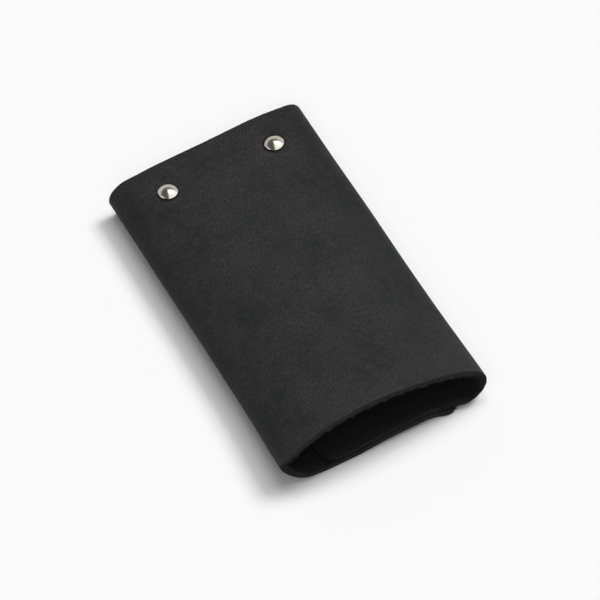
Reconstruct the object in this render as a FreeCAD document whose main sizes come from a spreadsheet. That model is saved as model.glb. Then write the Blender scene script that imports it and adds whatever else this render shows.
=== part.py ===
import FreeCAD, Part
import math
import os
import re

import Sketcher
from FreeCAD import Placement, Rotation, Vector

# A leather key case, folded in three and lying on its flaps. The middle panel is on top, arched at the
# mouth and flat at the back, where two rivets hold a rail of six key hooks against its inner face. The inner
# flap folds under from the right, the outer flap from the left, and two press studs hold them together.
# X runs across the case, Y from the mouth to the back and Z up. The origin is under the middle of the case.

doc = FreeCAD.newDocument("KeyCase")

# Driving sizes in millimetres

SIZES = {
    "case_width": 66,
    "case_length": 110,
    "leather": 2.2,
    "mouth_rise": 25.9,
    "mouth_crown_share": 0.712,
    "back_rise": 14.7,
    "back_crown_share": 6.36,
    "layer_gap": 0.6,
    "crease_gap": 0.15,
    "outer_flap_margin": 8.6,
    "outer_flap_corner": 3,
    "inner_flap_margin": 12.3,
    "inner_flap_corner": 6.5,
    "cut_overrun": 3,
    "fit_clear": 0.04,
    "pocket_clear": 0.3,
    "rivet_end_inset": 5.35,
    "rivet_inset": 10.5,
    "rivet_cap_radius": 3.05,
    "rivet_cap_rim": 0.5,
    "rivet_cap_crown": 1.2,
    "rivet_bite": 0.4,
    "rivet_shank_radius": 1.3,
    "rivet_base_radius": 2.9,
    "rivet_base_thick": 0.5,
    "rivet_bore_depth": 0.9,
    "rail_margin": 9.5,
    "rail_thick": 0.9,
    "rail_drop": 0.9,
    "rail_back": 5,
    "rail_front": 6,
    "rail_corner": 3,
    "rod_radius": 0.9,
    "rod_clear": 0.05,
    "rod_head_radius": 1.5,
    "rod_head_thick": 0.5,
    "hook_pitch_share": 0.149,
    "hook_window": 3,
    "window_clear": 0.35,
    "eye_width": 2.4,
    "eye_wall": 0.7,
    "eye_clear": 0.15,
    "hook_wire_radius": 0.7,
    "hook_spread_share": 0.3285,
    "hook_neck": 7,
    "hook_reach": 26,
    "hook_tip_gap": 7,
    "hook_rest_clear": 0.3,
    "sleeve_start": 3,
    "sleeve_length": 3.6,
    "sleeve_half_width": 2.6,
    "sleeve_half_height": 1.2,
    "sleeve_corner": 0.8,
    "gate_thick": 0.5,
    "gate_breadth": 1.2,
    "gate_pivot_x": 1.6,
    "gate_pivot_y": 5,
    "gate_root_radius": 0.5,
    "gate_tip_gap": 5,
    "gate_clear": 0.15,
    "snap_edge_inset": 9.4,
    "snap_end_inset": 25,
    "snap_cap_radius": 5,
    "snap_cap_proud": 0.8,
    "snap_cap_crown": 0.5,
    "snap_cap_seat": 0.5,
    "snap_shank_radius": 1.3,
    "snap_socket_radius": 4.2,
    "snap_socket_height": 1.8,
    "snap_socket_sunk": 0.8,
    "snap_socket_base": 0.3,
    "snap_bore_radius": 2.3,
    "snap_stud_radius": 4,
    "snap_stud_flange": 0.5,
    "snap_stud_sunk": 1.1,
    "snap_nib_radius": 1.8,
    "snap_nib_head": 0.7,
    "snap_neck_step": 0.25,
    "snap_post_radius": 4,
    "snap_post_flange": 0.5,
    "snap_post_sunk": 0.4,
    "snap_edge": 0.25,
    "snap_clear": 0.2,
}
HOOK_COUNT = 6
CURL_TURN = 120
FULL_TURN = 360
HALF_TURN = 180
QUARTER_TURN = 90
WIRE_END_SHARE = 0.6

sheet = doc.addObject("Spreadsheet::Sheet", "Sizes")
for row, (alias, value) in enumerate(SIZES.items(), start=1):
    sheet.set(f"A{row}", alias)
    sheet.set(f"B{row}", str(value))
    sheet.setAlias(f"B{row}", alias)
doc.recompute()

# Places that follow from the driving sizes

layout = doc.addObject("App::VarSet", "Layout")
prefix = {alias: f"Sizes.{alias}" for alias in SIZES}


def bound(expression):
    """The expression with each size and each worked-out place named in full."""
    return re.sub(r"[a-z]\w*", lambda word: prefix.get(word.group(), word.group()), expression)


def value_of(expression):
    return layout.evalExpression(bound(expression))


def derive(name, expression):
    layout.addProperty("App::PropertyFloat", name)
    layout.setExpression(name, bound(expression))
    prefix[name] = f"Layout.{name}"
    doc.recompute()


derive("half_width", "case_width / 2")
derive("half_length", "case_length / 2")
derive("half_crease", "crease_gap / 2")
derive("outer_floor", "snap_cap_proud")
derive("outer_top", "outer_floor + leather")
derive("inner_floor", "outer_top + layer_gap")
derive("inner_top", "inner_floor + leather")
derive("outer_flap_reach", "half_width - outer_flap_margin")
derive("inner_flap_reach", "half_width - inner_flap_margin")

# Each end's cross-section is a crown arc that runs smoothly into a fold circle on either side. A fold circle
# touches the side of the case, the crown arc and the plane of its own flap.
STATIONS = ("mouth", "back")
for station in STATIONS:
    derive(f"{station}_crown_radius", f"case_width * {station}_crown_share")
    derive(f"{station}_centre_z", f"outer_floor + {station}_rise - {station}_crown_radius")
    for side in ("outer", "inner"):
        at = f"{station}_{side}"
        derive(f"{at}_height", f"outer_floor + {station}_rise - {side}_floor")
        derive(f"{at}_span", f"2 * {station}_crown_radius - {at}_height")
        derive(f"{at}_slack", f"{at}_span - half_width")
        derive(f"{at}_reach", f"sqrt({at}_slack ^ 2 - half_width ^ 2 + {at}_height * {at}_span)")
        derive(f"{at}_radius", f"{at}_reach - {at}_slack")
        derive(f"{at}_fold_x", f"half_width - {at}_radius")
        derive(f"{at}_fold_z", f"{side}_floor + {at}_radius")
        derive(f"{at}_lean", f"asin({at}_fold_x / ({station}_crown_radius - {at}_radius))")

derive("panel_slope", "atan((mouth_rise - back_rise) / case_length)")
derive("rail_y", "half_length - rivet_inset")
derive("rail_rise", "back_rise + (mouth_rise - back_rise) * rivet_inset / case_length")
derive("rail_z", "outer_floor + rail_rise - leather - rail_drop")
derive("rail_length", "case_width - 2 * rail_margin")
derive("rivet_spacing", "rail_length - 2 * rivet_end_inset")
derive("rivet_clamp", "leather - rivet_bite")
derive("rivet_hole_radius", "rivet_shank_radius + fit_clear")
derive("curl_inner", "rod_radius + rod_clear")
derive("curl_outer", "curl_inner + rail_thick")
derive("rod_end", "rail_length / 2 + rod_clear + rod_head_thick")
derive("rod_y", "rail_y - rail_front * cos(panel_slope) - curl_outer * sin(panel_slope)")
derive("rod_z", "rail_z + rail_front * sin(panel_slope) - curl_outer * cos(panel_slope)")
derive("hook_pitch", "rail_length * hook_pitch_share")
derive("hook_half_width", "hook_pitch * hook_spread_share")
derive("hook_tip", "hook_reach - hook_tip_gap")
derive("gate_end", "hook_reach - gate_tip_gap")
derive("eye_inner", "rod_radius + eye_clear")
derive("eye_outer", "eye_inner + eye_wall")
derive("hook_droop", "asin((rod_z - hook_wire_radius - hook_rest_clear - inner_top) / hook_reach)")
derive("gate_end_x", "hook_half_width - hook_wire_radius - gate_clear - gate_thick / 2")
derive("snap_x", "outer_flap_reach - snap_edge_inset")
derive("snap_spacing", "case_length - 2 * snap_end_inset")
derive("socket_floor", "outer_top - snap_socket_sunk")
derive("socket_well", "socket_floor + snap_socket_base")
derive("socket_room", "snap_socket_radius + pocket_clear")
derive("nib_end", "socket_well + snap_clear")
derive("stud_roof", "inner_floor + snap_stud_sunk")
derive("post_seat", "inner_top - snap_post_sunk")
derive("snap_hole_radius", "snap_shank_radius + fit_clear")


# Sketches whose points and radii are bound to the sizes


def add_sketch(body, name, role, lift="0", shift="0", tilt="0"):
    """A sketch on one of the body's own planes, raised along the plane's normal, shifted along its second
    axis and tilted about its first."""
    sketch = body.newObject("Sketcher::SketchObject", f"{body.Name}_{name}")
    plane = [item for item in body.Origin.OriginFeatures if item.Role == role][0]
    sketch.AttachmentSupport = [(plane, "")]
    sketch.MapMode = "FlatFace"
    sketch.AttachmentOffset = Placement(Vector(), Rotation(Vector(1, 0, 0), value_of(tilt)))
    sketch.setExpression("AttachmentOffset.Base.y", bound(shift))
    sketch.setExpression("AttachmentOffset.Base.z", bound(lift))
    sketch.setExpression("AttachmentOffset.Rotation.Angle", bound(tilt))
    return sketch


def bind(sketch, kind, geometry, point, expression):
    """Fix one measure of a sketch point or circle to an expression."""
    if kind == "Radius":
        constraint = Sketcher.Constraint(kind, geometry, value_of(expression))
    else:
        constraint = Sketcher.Constraint(kind, -1, 1, geometry, point, value_of(expression))
    number = sketch.addConstraint(constraint)
    sketch.setExpression(f"Constraints[{number}]", bound(expression))


def add_arc(sketch, start, end, radius, turn):
    """An arc under a half circle from start to end. turn is 1 where it bends left and -1 where it bends
    right. Gives the arc with the numbers of its first and last point."""
    chord = end - start
    reach = math.sqrt(max(radius**2 - chord.Length**2 / 4, 0))
    left = Vector(-chord.y, chord.x, 0).normalize()
    centre = (start + end) / 2 + left * reach * turn
    circle = Part.Circle(centre, Vector(0, 0, 1), radius)
    first, last = (start, end) if turn > 0 else (end, start)
    angles = [math.atan2(point.y - centre.y, point.x - centre.x) for point in (first, last)]
    if angles[1] < angles[0]:
        angles[1] += math.tau
    arc = sketch.addGeometry(Part.ArcOfCircle(circle, *angles))
    return (arc, 1, 2) if turn > 0 else (arc, 2, 1)


def draw(sketch, points, arcs=None, closed=True):
    """Lines and arcs through points, which are pairs of expressions. arcs gives a radius and a turn for the
    edge that starts at that point."""
    arcs = arcs or {}
    places = [Vector(value_of(x), value_of(y), 0) for x, y in points]
    count = len(points) if closed else len(points) - 1
    edges = []
    for index in range(count):
        start, end = places[index], places[(index + 1) % len(points)]
        if index in arcs:
            radius, turn = arcs[index]
            edges.append(add_arc(sketch, start, end, value_of(radius), turn))
        else:
            edges.append((sketch.addGeometry(Part.LineSegment(start, end)), 1, 2))
    for index in range(count if closed else count - 1):
        edge, following = edges[index], edges[(index + 1) % count]
        sketch.addConstraint(Sketcher.Constraint("Coincident", edge[0], edge[2], following[0], following[1]))
    for index, (x, y) in enumerate(points):
        edge = edges[min(index, count - 1)]
        end = edge[1] if index < count else edge[2]
        bind(sketch, "DistanceX", edge[0], end, x)
        bind(sketch, "DistanceY", edge[0], end, y)
    for index, (radius, turn) in arcs.items():
        bind(sketch, "Radius", edges[index][0], 0, radius)
    return sketch


def draw_discs(sketch, centres, radius):
    for x, y in centres:
        circle = Part.Circle(Vector(value_of(x), value_of(y), 0), Vector(0, 0, 1), value_of(radius))
        disc = sketch.addGeometry(circle)
        bind(sketch, "DistanceX", disc, 3, x)
        bind(sketch, "DistanceY", disc, 3, y)
        bind(sketch, "Radius", disc, 0, radius)
    return sketch


# Features of a sub-part

nodes = []


def new_body(label):
    body = doc.addObject("PartDesign::Body", label)
    body.Label = label
    nodes.append(body)
    return body


def place(body, x, y, z, tilt="0"):
    """Put a finished sub-part at a place, tilted about the X axis."""
    body.Placement = Placement(Vector(), Rotation(Vector(1, 0, 0), value_of(tilt)))
    body.setExpression("Placement.Base.x", bound(x))
    body.setExpression("Placement.Base.y", bound(y))
    body.setExpression("Placement.Base.z", bound(z))
    body.setExpression("Placement.Rotation.Angle", bound(tilt))


def pad(body, sketch, length, middle=False):
    feature = body.newObject("PartDesign::Pad", f"{sketch.Name}_pad")
    feature.Profile = sketch
    feature.setExpression("Length", bound(length))
    feature.Midplane = middle
    doc.recompute()
    return feature


def pocket(body, sketch, depth, upward=False, middle=False):
    """Cut a sketch into the body, against its plane's normal unless upward, and make sure that it cut."""
    before = body.Shape.Volume
    feature = body.newObject("PartDesign::Pocket", f"{sketch.Name}_pocket")
    feature.Profile = sketch
    feature.setExpression("Length", bound(depth))
    feature.Reversed = upward
    feature.Midplane = middle
    doc.recompute()
    if body.Shape.Volume >= before:
        raise RuntimeError(f"{sketch.Name} cuts nothing")
    return feature


def revolve(body, points, arcs=None):
    """A turned piece from a half profile of radius and height about the body's Z axis."""
    sketch = draw(add_sketch(body, "profile", "XZ_Plane"), points, arcs)
    feature = body.newObject("PartDesign::Revolution", f"{body.Name}_turned")
    feature.Profile = sketch
    feature.ReferenceAxis = (sketch, ["V_Axis"])
    feature.Angle = FULL_TURN
    doc.recompute()
    return feature


# The leather: one hide, parted at three creases on either side


def polar(centre_x, centre_z, radius, angle):
    """A point at an angle from straight up, towards +X."""
    return f"{centre_x} + ({radius}) * sin({angle})", f"{centre_z} + ({radius}) * cos({angle})"


def leather_band(body, station, centre_x, centre_z, radius, angles, turn):
    """The cut end of a bent strip of leather: outer arcs through the angles and inner arcs back."""
    lift = "half_length" if station == "mouth" else "-half_length"
    inner = f"{radius} - leather"
    points = [polar(centre_x, centre_z, radius, angle) for angle in angles]
    points += [polar(centre_x, centre_z, inner, angle) for angle in reversed(angles)]
    last = len(angles) - 1
    arcs = {index: (radius, turn) for index in range(last)}
    arcs.update({last + 1 + index: (inner, -turn) for index in range(last)})
    return draw(add_sketch(body, station, "XZ_Plane", lift=lift), points, arcs)


def loft(body, sections):
    feature = body.newObject("PartDesign::AdditiveLoft", f"{body.Name}_loft")
    feature.Profile = sections[0]
    feature.Sections = sections[1:]
    feature.Ruled = True
    doc.recompute()
    return feature


def make_centre_panel():
    body = new_body("centre_panel")
    sections = []
    for station in STATIONS:
        radius = f"{station}_crown_radius"
        gap = f"half_crease / {radius} * {math.degrees(1)}"
        left = f"-({station}_outer_lean - {gap})"
        right = f"({station}_inner_lean - {gap})"
        sections.append(leather_band(body, station, "0", f"{station}_centre_z", radius, (left, right), -1))
    loft(body, sections)
    tilted = {"shift": "rail_y", "tilt": "-panel_slope"}
    across = "rod_end + pocket_clear"
    front = "-(rail_front + curl_outer + pocket_clear)"
    back = "rail_back + pocket_clear"
    seat = add_sketch(body, "rail_seat", "XY_Plane", lift="rail_z", **tilted)
    draw(seat, [(f"-({across})", front), (across, front), (across, back), (f"-({across})", back)])
    pocket(body, seat, "cut_overrun")
    rivets = [("-rivet_spacing / 2", "0"), ("rivet_spacing / 2", "0")]
    holes = add_sketch(body, "rivet_holes", "XY_Plane", lift="rail_z", **tilted)
    pocket(body, draw_discs(holes, rivets, "rivet_hole_radius"), "2 * (leather + cut_overrun)", middle=True)
    lift = "rail_z + rivet_clamp * cos(panel_slope)"
    tilted["shift"] = "rail_y + rivet_clamp * sin(panel_slope)"
    dimples = add_sketch(body, "rivet_dimples", "XY_Plane", lift=lift, **tilted)
    pocket(body, draw_discs(dimples, rivets, "rivet_cap_radius + pocket_clear"), "cut_overrun", upward=True)


def make_folds(side, sign):
    """The two strips that wrap one side of the case, from its crease with the middle panel to its flap."""
    for strip in ("upper", "lower"):
        body = new_body(f"{side}_fold_{strip}")
        sections = []
        for station in STATIONS:
            at = f"{station}_{side}"
            gap = f"half_crease / {at}_radius * {math.degrees(1)}"
            first, last = {
                "upper": (f"{at}_lean + {gap}", f"{QUARTER_TURN} - {gap}"),
                "lower": (f"{QUARTER_TURN} + {gap}", f"{HALF_TURN} - {gap}"),
            }[strip]
            angles = (f"({first}) * {sign}", f"({last}) * {sign}")
            centre_x = f"{at}_fold_x * {sign}"
            circle = (centre_x, f"{at}_fold_z", f"{at}_radius")
            sections.append(leather_band(body, station, *circle, angles, -sign))
        loft(body, sections)


def make_flap(side, sign):
    """A flat flap from its crease, at the side that sign points to, to a free edge with round corners."""
    body = new_body(f"{side}_flap")
    reach = f"-({side}_flap_reach) * {sign}"
    corner = f"{side}_flap_corner"
    inset = f"-({side}_flap_reach - {corner}) * {sign}"
    points = [
        (f"(mouth_{side}_fold_x - half_crease) * {sign}", "-half_length"),
        (inset, "-half_length"),
        (reach, f"-half_length + {corner}"),
        (reach, f"half_length - {corner}"),
        (inset, "half_length"),
        (f"(back_{side}_fold_x - half_crease) * {sign}", "half_length"),
    ]
    turn = sign * -1
    arcs = {1: (corner, turn), 3: (corner, turn)}
    pad(body, draw(add_sketch(body, "outline", "XY_Plane", lift=f"{side}_floor"), points, arcs), "leather")
    studs = [("snap_x", "-snap_spacing / 2"), ("snap_x", "snap_spacing / 2")]
    below, below_depth, above, above_depth = {
        "outer": ("snap_cap_radius", "snap_cap_seat", "snap_socket_radius", "snap_socket_sunk"),
        "inner": ("socket_room", "snap_stud_sunk", "snap_post_radius", "snap_post_sunk"),
    }[side]
    lower = add_sketch(body, "lower_seats", "XY_Plane", lift=f"{side}_floor")
    pocket(body, draw_discs(lower, studs, f"{below} + pocket_clear"), below_depth, upward=True)
    upper = add_sketch(body, "upper_seats", "XY_Plane", lift=f"{side}_top")
    pocket(body, draw_discs(upper, studs, f"{above} + pocket_clear"), above_depth)
    holes = add_sketch(body, "holes", "XY_Plane", lift=f"{side}_top")
    pocket(body, draw_discs(holes, studs, "snap_hole_radius"), "leather")


# The rivets and the hook rail, in a frame that lies on the sloping inner face of the middle panel


def on_rail(body, x="0"):
    place(body, x, "rail_y", "rail_z", "-panel_slope")


def make_rivet(side, sign):
    x = f"{sign} * rivet_spacing / 2"
    rim = "rivet_clamp + rivet_cap_rim"
    bore = "rivet_clamp + rivet_bore_depth"
    cap = new_body(f"rivet_cap_{side}")
    dome = "(rivet_cap_radius ^ 2 + rivet_cap_crown ^ 2) / (2 * rivet_cap_crown)"
    profile = [
        ("0", f"{rim} + rivet_cap_crown"),
        ("rivet_cap_radius", rim),
        ("rivet_cap_radius", "rivet_clamp"),
        ("rivet_hole_radius", "rivet_clamp"),
        ("rivet_hole_radius", bore),
        ("0", bore),
    ]
    revolve(cap, profile, {0: (dome, -1)})
    on_rail(cap, x)
    post = new_body(f"rivet_post_{side}")
    seat = "-rail_thick"
    foot = "-rail_thick - rivet_base_thick"
    profile = [
        ("0", foot),
        ("rivet_base_radius - rivet_base_thick / 2", foot),
        ("rivet_base_radius", f"{foot} + rivet_base_thick / 2"),
        ("rivet_base_radius", seat),
        ("rivet_shank_radius", seat),
        ("rivet_shank_radius", f"{bore} - fit_clear"),
        ("0", f"{bore} - fit_clear"),
    ]
    revolve(post, profile)
    on_rail(post, x)


def make_rail_plate():
    """A stamped plate whose front edge curls round the rod, with a window for each hook."""
    body = new_body("rail_plate")
    centre_y, centre_z = "-rail_front", "-curl_outer"

    def on_curl(radius, turns):
        angle = f"{QUARTER_TURN + CURL_TURN * turns}"
        return f"{centre_y} + {radius} * cos({angle})", f"{centre_z} + {radius} * sin({angle})"

    points = [("rail_back", "0")]
    points += [on_curl("curl_outer", turns) for turns in (0, 1, 2)]
    points += [on_curl("curl_inner", turns) for turns in (2, 1, 0)]
    points += [("rail_back", "-rail_thick")]
    arcs = {1: ("curl_outer", 1), 2: ("curl_outer", 1), 4: ("curl_inner", -1), 5: ("curl_inner", -1)}
    profile = draw(add_sketch(body, "profile", "YZ_Plane"), points, arcs)
    plate = pad(body, profile, "rail_length", middle=True)
    corners = []
    for number, edge in enumerate(plate.Shape.Edges, start=1):
        upright = edge.BoundBox.ZLength > edge.BoundBox.YLength and edge.BoundBox.XLength < edge.Length / 2
        if upright and edge.CenterOfMass.y > 0:
            corners.append(f"Edge{number}")
    rounding = body.newObject("PartDesign::Fillet", "rail_corners")
    rounding.Base = (plate, corners)
    rounding.setExpression("Radius", bound("rail_corner"))
    doc.recompute()
    rivets = [("-rivet_spacing / 2", "0"), ("rivet_spacing / 2", "0")]
    holes = add_sketch(body, "rivet_holes", "XY_Plane")
    pocket(body, draw_discs(holes, rivets, "rivet_hole_radius"), "rail_thick + cut_overrun")
    left = f"-hook_pitch * {(HOOK_COUNT - 1) / 2} - hook_window / 2"
    front = "-(rail_front + curl_outer + cut_overrun)"
    back = "-(rail_front - eye_outer - window_clear)"
    window = add_sketch(body, "window", "XY_Plane")
    right = f"{left} + hook_window"
    draw(window, [(left, front), (right, front), (right, back), (left, back)])
    cut = pocket(body, window, "2 * (curl_outer + cut_overrun)", middle=True)
    row = body.newObject("PartDesign::LinearPattern", "rail_windows")
    row.Originals = [cut]
    row.Direction = (window, ["H_Axis"])
    row.setExpression("Length", bound(f"hook_pitch * {HOOK_COUNT - 1}"))
    row.Occurrences = HOOK_COUNT
    body.Tip = row
    doc.recompute()
    on_rail(body)


def make_rail_rod():
    """A steel rod through the curl, with a flat head outside each end."""
    body = new_body("rail_rod")
    shoulder = "(rod_end - rod_head_thick)"
    points = [
        ("-rod_end", "0"),
        ("-rod_end", "rod_head_radius"),
        (f"-{shoulder}", "rod_head_radius"),
        (f"-{shoulder}", "rod_radius"),
        (shoulder, "rod_radius"),
        (shoulder, "rod_head_radius"),
        ("rod_end", "rod_head_radius"),
        ("rod_end", "0"),
    ]
    sketch = draw(add_sketch(body, "profile", "XZ_Plane"), points)
    feature = body.newObject("PartDesign::Revolution", "rail_rod_turned")
    feature.Profile = sketch
    feature.ReferenceAxis = (sketch, ["H_Axis"])
    feature.Angle = FULL_TURN
    doc.recompute()
    place(body, "0", "rod_y", "rod_z")


# The key hooks, each in a frame on the rod's axis with the hook along -Y


def on_rod(body, x):
    place(body, x, "rod_y", "rod_z", "hook_droop")


def make_hook(label, x):
    """An eye on the rod and a wire that bends aside below its neck, turns at the bottom and ends short, so
    that a ring can pass its tip."""
    body = new_body(label)
    eye = add_sketch(body, "eye", "YZ_Plane")
    draw_discs(eye, [("0", "0")], "eye_outer")
    draw_discs(eye, [("0", "0")], "eye_inner")
    pad(body, eye, "eye_width", middle=True)
    start = "-(eye_inner + eye_outer) / 2"
    wide = "hook_half_width"
    bend = "-hook_reach + hook_half_width"
    points = [
        ("0", start),
        ("0", "-hook_neck"),
        (f"-{wide} / 2", f"-hook_neck - {wide} * sqrt(3) / 2"),
        (f"-{wide}", f"-hook_neck - {wide} * sqrt(3)"),
        (f"-{wide}", bend),
        ("0", "-hook_reach"),
        (wide, bend),
        (wide, "-hook_tip"),
    ]
    arcs = {1: (wide, -1), 2: (wide, 1), 4: (wide, 1), 5: (wide, 1)}
    path = draw(add_sketch(body, "path", "XY_Plane"), points, arcs, closed=False)
    section = add_sketch(body, "section", "XZ_Plane", lift=f"-({start})")
    draw_discs(section, [("0", "0")], "hook_wire_radius")
    wire = body.newObject("PartDesign::AdditivePipe", f"{label}_wire")
    wire.Profile = section
    wire.Spine = path
    doc.recompute()
    on_rod(body, x)


def make_sleeve(label, x):
    """A stamped sleeve clamped round the hook's neck, with a slot for the root of the gate."""
    body = new_body(label)
    wide, high, corner = "sleeve_half_width", "sleeve_half_height", "sleeve_corner"
    points, arcs = [], {}
    for index, (across, up) in enumerate(((1, -1), (1, 1), (-1, 1), (-1, -1))):
        level = (f"{across} * {wide}", f"{up} * ({high} - {corner})")
        upright = (f"{across} * ({wide} - {corner})", f"{up} * {high}")
        points += (upright, level) if across * up < 0 else (level, upright)
        arcs[2 * index] = (corner, 1)
    outline = draw(add_sketch(body, "outline", "XZ_Plane", lift="sleeve_start"), points, arcs)
    pad(body, outline, "sleeve_length")
    bore = add_sketch(body, "bore", "XZ_Plane", lift="sleeve_start")
    draw_discs(bore, [("0", "0")], "hook_wire_radius + fit_clear")
    pocket(body, bore, "sleeve_length", upward=True)
    room = "(gate_root_radius + gate_clear)"
    left, right = f"gate_pivot_x - {room}", f"gate_pivot_x + {room}"
    low, top = "-gate_breadth / 2 - gate_clear", "gate_breadth / 2 + gate_clear"
    slot = add_sketch(body, "slot", "XZ_Plane", lift="sleeve_start + sleeve_length")
    draw(slot, [(left, low), (right, low), (right, top), (left, top)])
    pocket(body, slot, f"sleeve_start + sleeve_length - gate_pivot_y + {room}")
    on_rod(body, x)


def make_gate(label, x):
    """A spring leaf that closes the hook from its sleeve to the inner side of its tip."""
    body = new_body(label)
    root = add_sketch(body, "root", "XY_Plane")
    draw_discs(root, [("gate_pivot_x", "-gate_pivot_y")], "gate_root_radius")
    pad(body, root, "gate_breadth", middle=True)
    half = "gate_thick / 2"
    points = [
        (f"gate_pivot_x - {half}", "-gate_pivot_y"),
        (f"gate_end_x - {half}", "-gate_end"),
        (f"gate_end_x + {half}", "-gate_end"),
        (f"gate_pivot_x + {half}", "-gate_pivot_y"),
    ]
    leaf = draw(add_sketch(body, "leaf", "XY_Plane"), points, {1: (f"gate_thick * {WIRE_END_SHARE}", 1)})
    pad(body, leaf, "gate_breadth", middle=True)
    on_rod(body, x)


# The press studs


def make_snap(end, sign):
    y = f"{sign} * snap_spacing / 2"
    crown = "(snap_cap_radius ^ 2 + snap_cap_crown ^ 2) / (2 * snap_cap_crown)"
    seat = "outer_floor + snap_cap_seat"
    cap = new_body(f"snap_cap_{end}")
    profile = [
        ("0", "0"),
        ("snap_cap_radius", "snap_cap_crown"),
        ("snap_cap_radius", seat),
        ("snap_shank_radius", seat),
        ("snap_shank_radius", "socket_well"),
        ("0", "socket_well"),
    ]
    revolve(cap, profile, {0: (crown, 1)})
    socket = new_body(f"snap_socket_{end}")
    rim = "socket_floor + snap_socket_height"
    profile = [
        ("snap_hole_radius", "socket_floor"),
        ("snap_socket_radius", "socket_floor"),
        ("snap_socket_radius", f"{rim} - snap_edge"),
        ("snap_socket_radius - snap_edge", rim),
        ("snap_bore_radius", rim),
        ("snap_bore_radius", "socket_well"),
        ("snap_hole_radius", "socket_well"),
    ]
    revolve(socket, profile)
    stud = new_body(f"snap_stud_{end}")
    neck = "snap_nib_radius - snap_neck_step"
    profile = [
        ("snap_hole_radius", "stud_roof"),
        ("snap_stud_radius", "stud_roof"),
        ("snap_stud_radius", "stud_roof - snap_stud_flange"),
        (neck, "stud_roof - snap_stud_flange"),
        (neck, "nib_end + snap_nib_head"),
        ("snap_nib_radius", "nib_end + snap_nib_head - snap_neck_step"),
        ("snap_nib_radius", "nib_end + snap_edge"),
        ("snap_nib_radius - snap_edge", "nib_end"),
        ("snap_hole_radius", "nib_end"),
    ]
    revolve(stud, profile)
    post = new_body(f"snap_post_{end}")
    top = "post_seat + snap_post_flange"
    profile = [
        ("0", top),
        ("snap_post_radius - snap_edge", top),
        ("snap_post_radius", f"{top} - snap_edge"),
        ("snap_post_radius", "post_seat"),
        ("snap_shank_radius", "post_seat"),
        ("snap_shank_radius", "nib_end + snap_edge"),
        ("0", "nib_end + snap_edge"),
    ]
    revolve(post, profile)
    for piece in (cap, socket, stud, post):
        place(piece, "snap_x", y, "0")


make_centre_panel()
for side, sign in (("outer", -1), ("inner", 1)):
    make_folds(side, sign)
    make_flap(side, sign)
for side, sign in (("left", -1), ("right", 1)):
    make_rivet(side, sign)
make_rail_plate()
make_rail_rod()
for number in range(1, HOOK_COUNT + 1):
    hook_x = f"hook_pitch * {number - (HOOK_COUNT + 1) / 2}"
    make_hook(f"hook_{number}", hook_x)
    make_sleeve(f"hook_sleeve_{number}", hook_x)
    make_gate(f"hook_gate_{number}", hook_x)
for end, sign in (("mouth", -1), ("back", 1)):
    make_snap(end, sign)

# Nothing is written unless every object and every solid is sound

doc.recompute()
for item in doc.Objects:
    if "Invalid" in item.State or "Error" in item.State:
        raise RuntimeError(f"{item.Label} failed: {item.State}")
for node in nodes:
    if node.Shape.isNull() or not node.Shape.isValid() or len(node.Shape.Solids) != 1:
        raise RuntimeError(f"{node.Label} has no single sound solid")

os.makedirs("parts", exist_ok=True)
for node in nodes:
    node.Shape.exportStep(f"parts/{node.Label}.step")
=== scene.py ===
import math
import random

import bmesh
import bpy
from mathutils import Matrix, Quaternion, Vector, noise
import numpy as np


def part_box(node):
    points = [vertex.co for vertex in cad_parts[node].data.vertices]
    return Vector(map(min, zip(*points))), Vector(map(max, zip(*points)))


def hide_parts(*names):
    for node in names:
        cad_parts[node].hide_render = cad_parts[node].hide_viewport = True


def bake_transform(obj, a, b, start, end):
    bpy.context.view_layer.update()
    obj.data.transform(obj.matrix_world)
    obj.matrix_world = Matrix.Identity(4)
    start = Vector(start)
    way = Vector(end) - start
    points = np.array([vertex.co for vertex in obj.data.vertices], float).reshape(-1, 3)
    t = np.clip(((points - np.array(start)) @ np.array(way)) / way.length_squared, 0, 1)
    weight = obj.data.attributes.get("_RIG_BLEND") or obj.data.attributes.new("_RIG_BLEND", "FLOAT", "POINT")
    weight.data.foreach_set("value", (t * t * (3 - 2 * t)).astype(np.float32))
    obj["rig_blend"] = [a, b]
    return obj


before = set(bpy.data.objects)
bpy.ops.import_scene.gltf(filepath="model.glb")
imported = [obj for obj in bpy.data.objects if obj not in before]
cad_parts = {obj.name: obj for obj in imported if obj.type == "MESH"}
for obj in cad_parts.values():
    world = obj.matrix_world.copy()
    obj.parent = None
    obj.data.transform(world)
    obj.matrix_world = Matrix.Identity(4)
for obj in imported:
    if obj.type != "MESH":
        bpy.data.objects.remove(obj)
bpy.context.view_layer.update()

bl_info = {
    "name": "Leather Key Case",
    "version": (1, 0, 0),
    "blender": (4, 5, 0),
    "location": "3D View > Sidebar > Key Case",
    "description": "Builds a key case on its CAD frame: folded hide, metal finishes and studio",
    "category": "Object",
}

MM = 0.001

# The hide is one sheet, drawn from the outer flap's free edge round the case to the inner flap's. A
# place across it is given as a zone number and a share of that zone.
OUTER_FLAP, OUTER_LOWER, OUTER_UPPER, PANEL, INNER_UPPER, INNER_LOWER, INNER_FLAP = range(7)
HALF = 0.5
GRAIN, FLESH, EDGE = range(3)

# Sockets of a Mix node for colours, which goes from one colour to another by a factor.
FACTOR, FROM, TO, MIXED = 0, 6, 7, 2

# Columns and rows of the sheet, closer at each flap's free edge for its round corners. A turn past
# SHARP is a crease. AT_EDGE and AT_LEVEL are how near, in metres, a point counts as being there.
ZONE_STEPS = {OUTER_LOWER: 32, OUTER_UPPER: 26, PANEL: 92, INNER_UPPER: 24, INNER_LOWER: 28}
FLAP_STEPS = 60
EDGE_STEPS = 12
EDGE_RUN = 1.4 * MM
ROWS = 160
RIM_CUTS = 4
SHARP = math.radians(50)
AT_EDGE, AT_LEVEL = 1e-5, 1e-6

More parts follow.
